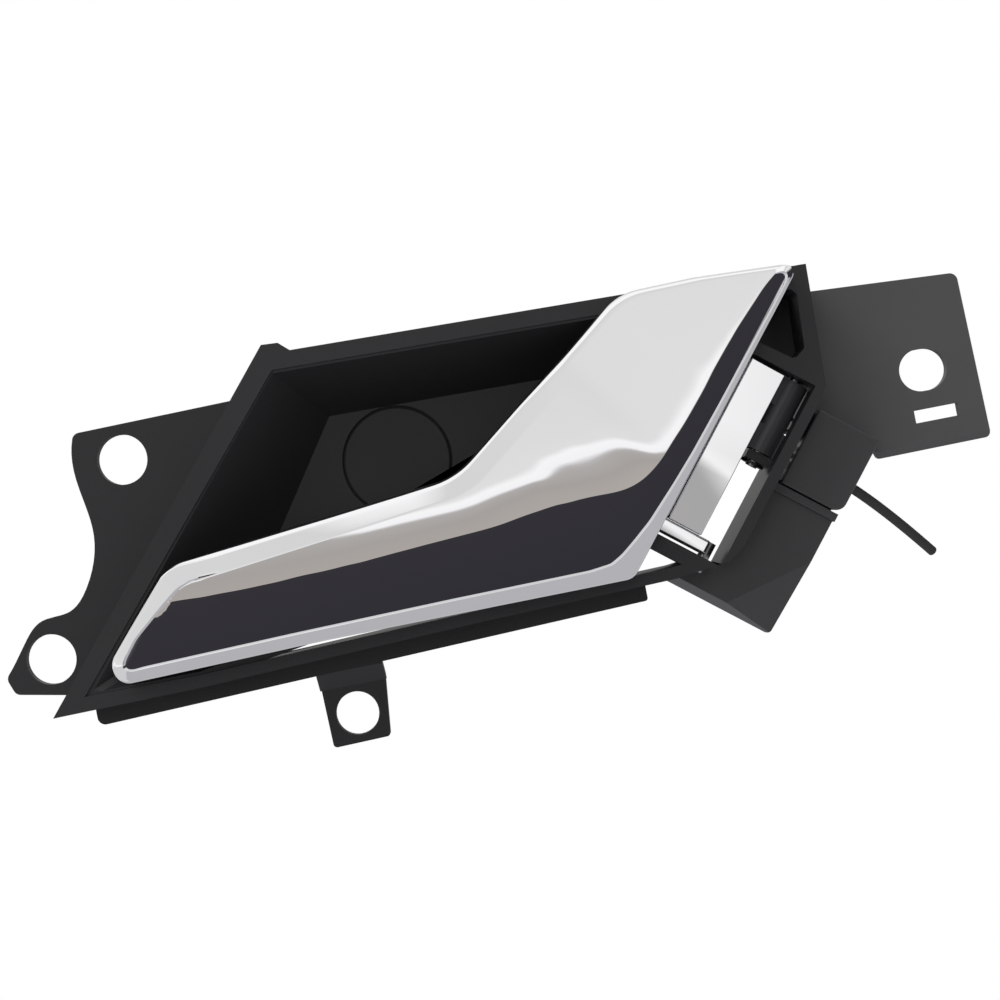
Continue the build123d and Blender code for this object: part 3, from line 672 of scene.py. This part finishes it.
def fall_heights(up, slopes):
    """Heights of the face at distances above the ridge, from its slopes there."""
    fine = np.arange(0.0, UP_DISTANCES[-1], FALL_STEP)
    falls = np.cumsum(np.tan(np.radians(np.interp(fine, UP_DISTANCES, slopes)))) * FALL_STEP
    return -np.interp(up, fine + FALL_STEP, falls, left=0.0) * (up > 0.0)


def edge_drop(distance, radius):
    """How far a rounded edge drops at a distance from the outline."""
    inside = np.clip(radius - distance, 0.0, radius)
    return radius - np.sqrt(np.maximum(radius**2 - inside**2, 0.0))


def face_heights(low, high, shares, rows, sizes):
    """Height of the face above its ridge at every row of every rung, in millimetres."""
    run = np.linalg.norm(high - low, axis=1)
    along = travelled(low + shares[:, None] * (high - low))
    up_slopes = np.array([
        even_stations([(place, slopes[k]) for place, slopes in UP_SLOPES], along)
        for k in range(len(UP_DISTANCES))
    ]).T
    down_rise = even_stations(DOWN_RISE, along)
    down_loss = even_stations(DOWN_LOSS, along)
    band = even_stations(BAND_SLOPE, along)
    crest = even_stations(CREST_DROP, along)
    band_width = sizes.band_width / MM
    radius = sizes.edge_radius / MM
    top_radius = radius * between(TOP_BEND, along)
    heights = np.zeros_like(rows)
    for i in range(len(low)):
        above = (rows[i] - shares[i]) * run[i]
        from_low = rows[i] * run[i]
        from_high = (1.0 - rows[i]) * run[i]
        down = np.maximum(-above, 0.0)
        height = fall_heights(np.maximum(above, 0.0), up_slopes[i])
        height += np.radians(down_rise[i]) * down - np.radians(down_loss[i]) * down**2 / 2
        height -= math.tan(math.radians(band[i])) * np.maximum(band_width - from_high, 0.0)
        height -= edge_drop(from_low, radius)
        height -= edge_drop(from_high, top_radius[i])
        heights[i] = height - crest[i]
    return heights


def face_rows(low, high, shares):
    """Shares across each rung, close together at the edges and with one on the ridge."""
    run = np.linalg.norm(high - low, axis=1)
    rows = []
    for i in range(len(low)):
        ridge = shares[i] * run[i]
        squeeze_low = min(1.0, EDGE_SHARE * ridge / LOW_ROWS[-1])
        squeeze_high = min(1.0, EDGE_SHARE * (run[i] - ridge) / HIGH_ROWS[0])
        start = LOW_ROWS[-1] * squeeze_low
        stop = run[i] - HIGH_ROWS[0] * squeeze_high
        below = ridge - min(RIDGE_GAP, GAP_SHARE * (ridge - start))
        above = ridge + min(RIDGE_GAP, GAP_SHARE * (stop - ridge))
        rows.append(np.concatenate([
            np.array(LOW_ROWS) * squeeze_low,
            np.linspace(start, below, ROWS_BELOW_RIDGE)[1:],
            [ridge],
            np.linspace(above, stop, ROWS_ABOVE_RIDGE)[:-1],
            run[i] - np.array(HIGH_ROWS) * squeeze_high,
        ]) / run[i])
    return np.array(rows)


def face_places(low, high, ends, rows, heights, sizes):
    """Places of the face in metres, with the first and last rungs bent to the lever's two ends."""
    columns = len(low)
    places = np.zeros(rows.shape + (3,))
    ends = [resample(end, END_POINTS) for end in ends]
    for i in range(columns):
        across = rows[i][:, None]
        flat = (1 - across) * low[i] + across * high[i]
        from_left = i / (columns - 1)
        for end, rung, share in ((ends[0], 0, from_left), (ends[1], -1, 1 - from_left)):
            weight = max(0.0, 1 - share * END_FADE)
            if weight > 0.0:
                straight = (1 - across) * low[rung] + across * high[rung]
                bent = end[np.rint(rows[i] * (END_POINTS - 1)).astype(int)]
                flat = flat + weight * (bent - straight)
        places[i, :, 0] = flat[:, 0] * MM
        places[i, :, 1] = sizes.face_front - heights[i] * MM
        places[i, :, 2] = flat[:, 1] * MM
    return places


class HANDLE_OT_lever_shell(bpy.types.Operator):
    """Bright hollow lever with a crowned face"""

    bl_idname = "handle.lever_shell"
    bl_label = "Lever shell"

    def execute(self, context):
        sizes = context.scene.handle_sizes
        low, high, left, right = matched_edges()
        low, high = even_rungs(low), even_rungs(high)
        shares = ridge_share(low, high)
        rows = face_rows(low, high, shares)
        heights = face_heights(low, high, shares, rows, sizes)
        shell = lay_grid(face_places(low, high, (left, right), rows, heights, sizes))

        bpy.ops.object.mode_set(mode="EDIT")
        bpy.ops.mesh.select_mode(type="EDGE")
        bpy.ops.mesh.select_all(action="SELECT")
        bpy.ops.mesh.normals_make_consistent(inside=False)
        bpy.ops.mesh.select_all(action="DESELECT")
        bpy.ops.mesh.select_non_manifold()
        bpy.ops.mesh.extrude_edges_move(TRANSFORM_OT_translate={"value": (0.0, MM, 0.0)})
        bpy.ops.transform.resize(value=(1.0, 0.0, 1.0), center_override=(0.0, sizes.lever_back, 0.0))
        bpy.ops.mesh.edge_face_add()
        bpy.ops.mesh.inset(thickness=BACK_BORDER * MM, use_boundary=True)
        bpy.ops.mesh.extrude_region_move(TRANSFORM_OT_translate={"value": (0.0, -BACK_RECESS * MM, 0.0)})
        bpy.ops.mesh.select_all(action="SELECT")
        bpy.ops.mesh.normals_make_consistent(inside=False)
        bpy.ops.object.mode_set(mode="OBJECT")
        settle(shell, "lever_shell")
        smooth_by_angle(shell, 50)
        shell.data.materials.append(bpy.data.materials["bright_chrome"])
        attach(shell, "lever")
        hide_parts("lever")
        return {"FINISHED"}


# Rim of the lever


def face_depth(shell, x, z, start):
    """Depth of the lever's face behind a place seen from the front, in millimetres."""
    hit, where, _, _ = shell.ray_cast(Vector((x, start, z)) * MM, Vector((0.0, 1.0, 0.0)))
    return where.y / MM if hit else None


def rim_borders():
    """Outer and inner border of the rim, with its share and its tilt at every place."""
    path = rounded_path(LEVER_CORNERS, FINE_STEP)
    outer, inner, share, tilt = [], [], [], []
    for i, (here, there) in enumerate(zip(RIM_STATIONS, RIM_STATIONS[1:])):
        edge = walk(path, nearest(path, here[0]), nearest(path, there[0]))
        count = max(3, int(len(edge) * FINE_STEP / OUTLINE_STEP))
        first = 0 if i == 0 else 1
        blend = np.linspace(0.0, 1.0, count)[first:]
        outer.append(resample(edge, count)[first:])
        inner.append(np.outer(1 - blend, here[1]) + np.outer(blend, there[1]))
        share.append((1 - blend) * here[2] + blend * there[2])
        tilt.append((1 - blend) * here[3] + blend * there[3])
    inner = soften(np.vstack(inner), BORDER_ROUNDS)
    return np.vstack(outer), inner, np.concatenate(share), np.concatenate(tilt)


def rim_profile(width, drop, inner_depth, height):
    """Share of the width and depth of every row, round the section of the rim."""
    outside = min(RIM_RADIUS, OUTSIDE_SHARE * width)
    inside = min(RIM_RADIUS, INSIDE_SHARE * width)
    crest = inner_depth - height
    slope = drop / max(width - inside, 0.1)
    edge_depth = crest + slope * (width - inside - outside)
    rows = [(0.0, edge_depth + outside + RIM_SKIRT)]
    for k in range(ROUND_ROWS):
        turn = math.radians(90.0 * k / (ROUND_ROWS - 1))
        rows.append((outside * (1 - math.cos(turn)) / width, edge_depth + outside * (1 - math.sin(turn))))
    for k in range(1, ROUND_ROWS):
        place = outside + (width - inside - outside) * k / (ROUND_ROWS - 1)
        rows.append((place / width, crest + slope * (width - inside - place)))
    rows.append((1.0 - 0.3 * inside / width, crest + inside))
    rows.append((1.0, inner_depth + RIM_FOOT))
    rows.append((0.5, inner_depth + RIM_KEEL))
    return rows + rows[:1]


class HANDLE_OT_lever_rim(bpy.types.Operator):
    """Raised bright rim round the tip, the lower edge and the right edge of the lever"""

    bl_idname = "handle.lever_rim"
    bl_label = "Lever rim"

    def execute(self, context):
        sizes = context.scene.handle_sizes
        shell = bpy.data.objects["lever_shell"]
        outer, inner, share, tilt = rim_borders()
        across = outer - inner
        width = np.linalg.norm(across, axis=1)
        outer = outer + ((share - 1.0) * RIM_RETREAT + RIM_OVERHANG)[:, None] * across / width[:, None]
        start = sizes.face_front / MM - LOOK_DISTANCE
        depth = np.array([face_depth(shell, x, z, start) for x, z in inner])
        depth = soften(depth, DEPTH_ROUNDS)
        sections = []
        for i in range(len(outer)):
            drop = width[i] * math.tan(math.radians(tilt[i]))
            section = []
            for v, y in rim_profile(width[i], drop, depth[i], sizes.rim_height / MM):
                x, z = (1 - v) * outer[i] + v * inner[i]
                if share[i] < 1.0:
                    under = face_depth(shell, *(0.1 * inner[i] + 0.9 * np.array((x, z))), start)
                    sunk = max(y, under + RIM_SUNK) if under else y
                    y = share[i] * y + (1 - share[i]) * sunk
                section.append((x * MM, y * MM, z * MM))
            sections.append(section)
        rim = lay_grid(np.array(sections))

        bpy.ops.object.mode_set(mode="EDIT")
        bpy.ops.mesh.select_all(action="SELECT")
        bpy.ops.mesh.remove_doubles(threshold=MM / 1000)
        bpy.ops.mesh.select_all(action="DESELECT")
        bpy.ops.mesh.select_mode(type="EDGE")
        bpy.ops.mesh.select_non_manifold()
        bpy.ops.mesh.edge_face_add()
        bpy.ops.mesh.select_all(action="SELECT")
        bpy.ops.mesh.normals_make_consistent(inside=False)
        bpy.ops.object.mode_set(mode="OBJECT")
        settle(rim, "lever_rim")
        smooth_by_angle(rim, 45)
        rim.data.materials.append(bpy.data.materials["bright_chrome"])
        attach(rim, "lever")
        return {"FINISHED"}


# Root arm


def hinge_block(name, s, n, y):
    """Block between two stations along and across the hinge line and two depths."""
    deselect_all()
    middle = hinge_point((s[0] + s[1]) / 2, (n[0] + n[1]) / 2, (y[0] + y[1]) / 2)
    bpy.ops.mesh.primitive_cube_add(size=1.0, location=middle)
    block = bpy.context.object
    block.name = name
    block.scale = ((s[1] - s[0]) * MM, (y[1] - y[0]) * MM, (n[1] - n[0]) * MM)
    block.rotation_euler = (0.0, -HINGE_SLOPE, 0.0)
    bpy.ops.object.transform_apply(location=True, rotation=True, scale=True)
    return block


def station(place, direction):
    """Station of a place in metres, along or across the hinge line, in millimetres."""
    return (place / MM - Vector(HINGE_POINT)).dot(direction)


def on_front(place):
    """Whether a place in metres is on the front half of the root arm's blocks."""
    return place.y < ROOT_MIDDLE * MM


def cut_block(block, places, direction):
    """Cuts a block at places square to a direction, without taking anything away."""
    pick(block)
    bpy.ops.object.mode_set(mode="EDIT")
    for place in places:
        bpy.ops.mesh.select_all(action="SELECT")
        bpy.ops.mesh.bisect(plane_co=place, plane_no=direction)
    bpy.ops.object.mode_set(mode="OBJECT")


def sink_points(block, wanted, depth):
    """Moves the points for which wanted is true back into the door, by a depth in millimetres."""
    pick(block)
    bpy.ops.object.mode_set(mode="EDIT")
    bpy.ops.mesh.select_mode(type="VERT")
    bpy.ops.mesh.select_all(action="DESELECT")
    bpy.ops.object.mode_set(mode="OBJECT")
    for point in block.data.vertices:
        point.select = wanted(point.co)
    bpy.ops.object.mode_set(mode="EDIT")
    bpy.ops.transform.translate(value=(0.0, depth * MM, 0.0))
    bpy.ops.object.mode_set(mode="OBJECT")


def round_edges(block, width):
    """Rounds the edges of a block by a width in millimetres and evens out its shading."""
    bevel = block.modifiers.new("round", "BEVEL")
    bevel.width = width * MM
    bevel.segments = 4
    bevel.limit_method = "ANGLE"
    bevel.angle_limit = math.radians(ROUNDED_ANGLE)
    apply_modifiers(block)
    smooth_by_angle(block, 40)
    weighted = block.modifiers.new("even_shading", "WEIGHTED_NORMAL")
    weighted.keep_sharp = True
    apply_modifiers(block)


class HANDLE_OT_root_arm(bpy.types.Operator):
    """Bright root arm that joins the lever to its hinge"""

    bl_idname = "handle.root_arm"
    bl_label = "Root arm"

    def execute(self, context):
        for piece in (self.arm(), self.riser(), self.cheek()):
            piece.data.materials.append(bpy.data.materials["bright_chrome"])
            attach(piece, "lever")
        return {"FINISHED"}

    def arm(self):
        """Plate beside the lever, whose front leans and steps back beside the lever."""
        arm = hinge_block("root_arm", *ARM_BLOCK)
        cut_block(arm, [hinge_point(s, 0.0, 0.0) for s, _ in ARM_DIPS[1:-1]], ALONG)
        for s, dip in ARM_DIPS:
            sink_points(
                arm,
                lambda co: (on_front(co) and station(co, ACROSS) > ARM_HINGE_SIDE
                            and abs(station(co, ALONG) - s) < STATION_GAP),
                dip)
        cut_block(arm, [hinge_point(0.0, n, 0.0) for n in ARM_STEP], ACROSS)
        sink_points(
            arm,
            lambda co: on_front(co) and station(co, ACROSS) < ARM_LEVER_SIDE,
            ARM_STEP_DEPTH)
        round_edges(arm, 0.3)
        return arm

    def riser(self):
        """Foot of the arm inside the lever, whose back slopes towards the far side."""
        riser = hinge_block("root_riser", *RISER_BLOCK)
        sink_points(
            riser,
            lambda co: not on_front(co) and station(co, ACROSS) < RISER_FAR_SIDE,
            -RISER_RISE)
        round_edges(riser, 0.4)
        return riser

    def cheek(self):
        """Short return at the lower end of the arm."""
        cheek = hinge_block("root_cheek", *CHEEK_BLOCK)
        sink_points(
            cheek,
            lambda co: on_front(co) and station(co, ACROSS) > CHEEK_HINGE_SIDE,
            CHEEK_DIP)
        round_edges(cheek, 0.5)
        return cheek


# Studio


class HANDLE_OT_studio(bpy.types.Operator):
    """Pale floor, soft light, white surroundings and the camera"""

    bl_idname = "handle.studio"
    bl_label = "Studio"

    def execute(self, context):
        scene = context.scene
        scene.view_settings.view_transform = "Standard"
        self.floor()
        self.lamps()
        self.surroundings(scene)
        self.camera(scene)
        return {"FINISHED"}

    def floor(self):
        """Pale slab below the handle, which the chrome doesn't show."""
        deselect_all()
        bpy.ops.mesh.primitive_plane_add(size=FLOOR_SIZE, location=FLOOR_PLACE)
        floor = bpy.context.object
        floor.visible_glossy = False
        bpy.ops.object.mode_set(mode="EDIT")
        bpy.ops.mesh.select_all(action="SELECT")
        bpy.ops.mesh.extrude_region_move(TRANSFORM_OT_translate={"value": (0.0, 0.0, -FLOOR_THICKNESS)})
        bpy.ops.mesh.select_all(action="SELECT")
        bpy.ops.mesh.normals_make_consistent(inside=False)
        bpy.ops.object.mode_set(mode="OBJECT")
        settle(floor, "floor")
        mat, _, _, shader = new_material("pale_floor")
        shader.inputs["Base Color"].default_value = FLOOR_TONE
        shader.inputs["Roughness"].default_value = 0.8
        floor.data.materials.append(mat)

    def lamps(self):
        """Soft key and fill light, which the chrome doesn't show."""
        for name, where, size, power in LAMPS:
            deselect_all()
            bpy.ops.object.light_add(type="AREA", location=where)
            lamp = bpy.context.object
            lamp.name = name
            lamp.data.shape = "DISK"
            lamp.data.size = size
            lamp.data.energy = power
            lamp.visible_glossy = False
            aim = STUDIO_AIM - Vector(where)
            lamp.rotation_euler = aim.to_track_quat("-Z", "Y").to_euler()

    def surroundings(self, scene):
        """White to the camera, and a soft banded studio to everything bright."""
        world = bpy.data.worlds.new("studio")
        scene.world = world
        world.use_nodes = True
        nodes = world.node_tree.nodes
        links = world.node_tree.links
        nodes.clear()
        view = nodes.new("ShaderNodeTexCoord")
        height, bands = self.bands(nodes, links, view, BAND_DIRECTION, STUDIO_BANDS)
        _, side_bands = self.bands(nodes, links, view, SIDE_DIRECTION, SIDE_BANDS)
        lit = nodes.new("ShaderNodeMix")
        lit.data_type = "RGBA"
        lit.blend_type = "LIGHTEN"
        upper = nodes.new("ShaderNodeMapRange")
        upper.inputs["From Min"].default_value = SIDE_FADE[0]
        upper.inputs["From Max"].default_value = SIDE_FADE[1]
        links.new(height.outputs["Result"], upper.inputs["Value"])
        amount = nodes.new("ShaderNodeMath")
        amount.operation = "MULTIPLY"
        links.new(side_bands.outputs["Alpha"], amount.inputs[0])
        links.new(upper.outputs["Result"], amount.inputs[1])
        links.new(amount.outputs["Value"], lit.inputs[0])
        links.new(bands.outputs["Color"], lit.inputs[6])
        links.new(side_bands.outputs["Color"], lit.inputs[7])
        seen = nodes.new("ShaderNodeLightPath")
        studio = nodes.new("ShaderNodeBackground")
        studio.inputs["Strength"].default_value = 1.0
        links.new(lit.outputs[2], studio.inputs["Color"])
        white = nodes.new("ShaderNodeBackground")
        white.inputs["Color"].default_value = (1.0, 1.0, 1.0, 1.0)
        mix = nodes.new("ShaderNodeMixShader")
        links.new(seen.outputs["Is Camera Ray"], mix.inputs["Fac"])
        links.new(studio.outputs["Background"], mix.inputs[1])
        links.new(white.outputs["Background"], mix.inputs[2])
        out = nodes.new("ShaderNodeOutputWorld")
        links.new(mix.outputs["Shader"], out.inputs["Surface"])

    def bands(self, nodes, links, view, direction, wanted):
        """Bands of colour by how far a view turns towards a direction."""
        lean = nodes.new("ShaderNodeVectorMath")
        lean.operation = "DOT_PRODUCT"
        lean.inputs[1].default_value = direction
        links.new(view.outputs["Generated"], lean.inputs[0])
        scale = nodes.new("ShaderNodeMapRange")
        scale.inputs["From Min"].default_value = -1.0
        scale.inputs["From Max"].default_value = 1.0
        links.new(lean.outputs["Value"], scale.inputs["Value"])
        ramp = nodes.new("ShaderNodeValToRGB")
        links.new(scale.outputs["Result"], ramp.inputs["Fac"])
        stops = ramp.color_ramp.elements
        while len(stops) < len(wanted):
            stops.new(0.5)
        for stop, (at, colour, alpha) in zip(stops, wanted):
            stop.position = at
            stop.color = list(colour) + [alpha]
        return scale, ramp

    def camera(self, scene):
        """Straight-on view, rolled so that the handle rises to the right."""
        deselect_all()
        bpy.ops.object.camera_add(location=CAMERA_PLACE)
        camera = bpy.context.object
        camera.name = "photo_camera"
        roll = math.atan2(ROLL_FALL, ROLL_RUN)
        right = Vector((math.cos(roll), 0.0, -math.sin(roll)))
        up = Vector((math.sin(roll), 0.0, math.cos(roll)))
        back = Vector((0.0, -1.0, 0.0))
        turn = Matrix((right, up, back)).transposed()
        camera.rotation_euler = turn.to_euler()
        camera.data.sensor_width = SENSOR_WIDTH
        camera.data.lens = FOCAL_PIXELS * SENSOR_WIDTH / PICTURE_PIXELS
        scene.camera = camera


# Release cable


class HANDLE_OT_cable(bpy.types.Operator):
    """Release cable that leaves the cover and bends into the door"""

    bl_idname = "handle.cable"
    bl_label = "Release cable"

    def execute(self, context):
        sizes = context.scene.handle_sizes
        route = [
            hinge_point(CABLE_STATION, CABLE_START, CABLE_DEPTH),
            hinge_point(CABLE_STATION, CABLE_CORNER, CABLE_DEPTH),
            Vector(CABLE_END) * MM,
        ]
        deselect_all()
        curve = bpy.data.curves.new("cable_line", "CURVE")
        curve.dimensions = "3D"
        curve.resolution_u = 16
        curve.bevel_depth = sizes.cable_diameter / 2
        curve.bevel_resolution = 6
        curve.use_fill_caps = True
        spline = curve.splines.new("NURBS")
        spline.points.add(len(route) - 1)
        for point, place in zip(spline.points, route):
            point.co = (place.x, place.y, place.z, 1.0)
        spline.order_u = 3
        spline.use_endpoint_u = True
        cable = bpy.data.objects.new("cable_line", curve)
        context.scene.collection.objects.link(cable)
        curve.materials.append(bpy.data.materials["cable_sheath"])
        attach(cable, "base")
        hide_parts("release_cable")
        return {"FINISHED"}


# Panel and registration


class HANDLE_PT_panel(bpy.types.Panel):
    """Sizes, colours and stages of the door handle"""

    bl_label = "Door Handle"
    bl_idname = "HANDLE_PT_panel"
    bl_space_type = "VIEW_3D"
    bl_region_type = "UI"
    bl_category = "Door Handle"

    def draw(self, context):
        layout = self.layout
        for prop in HandleSizes.__annotations__:
            layout.prop(context.scene.handle_sizes, prop)
        for prop in HandleFinishes.__annotations__:
            layout.prop(context.scene.handle_finishes, prop)
        for operator in OPERATORS:
            layout.operator(operator.bl_idname)


OPERATORS = (
    HANDLE_OT_finishes,
    HANDLE_OT_lever_shell,
    HANDLE_OT_lever_rim,
    HANDLE_OT_root_arm,
    HANDLE_OT_cable,
    HANDLE_OT_studio,
)
CLASSES = (HandleSizes, HandleFinishes) + OPERATORS + (HANDLE_PT_panel,)


def register():
    """Adds the settings, the stages and the panel to Blender."""
    for cls in CLASSES:
        bpy.utils.register_class(cls)
    bpy.types.Scene.handle_sizes = bpy.props.PointerProperty(type=HandleSizes)
    bpy.types.Scene.handle_finishes = bpy.props.PointerProperty(type=HandleFinishes)


def unregister():
    """Takes them away again."""
    del bpy.types.Scene.handle_finishes
    del bpy.types.Scene.handle_sizes
    for cls in reversed(CLASSES):
        bpy.utils.unregister_class(cls)


def main():
    """Builds every stage of the scene in order."""
    register()
    bpy.ops.handle.finishes()
    bpy.ops.handle.lever_shell()
    bpy.ops.handle.lever_rim()
    bpy.ops.handle.root_arm()
    bpy.ops.handle.cable()
    bpy.ops.handle.studio()


if __name__ == "__main__":
    main()
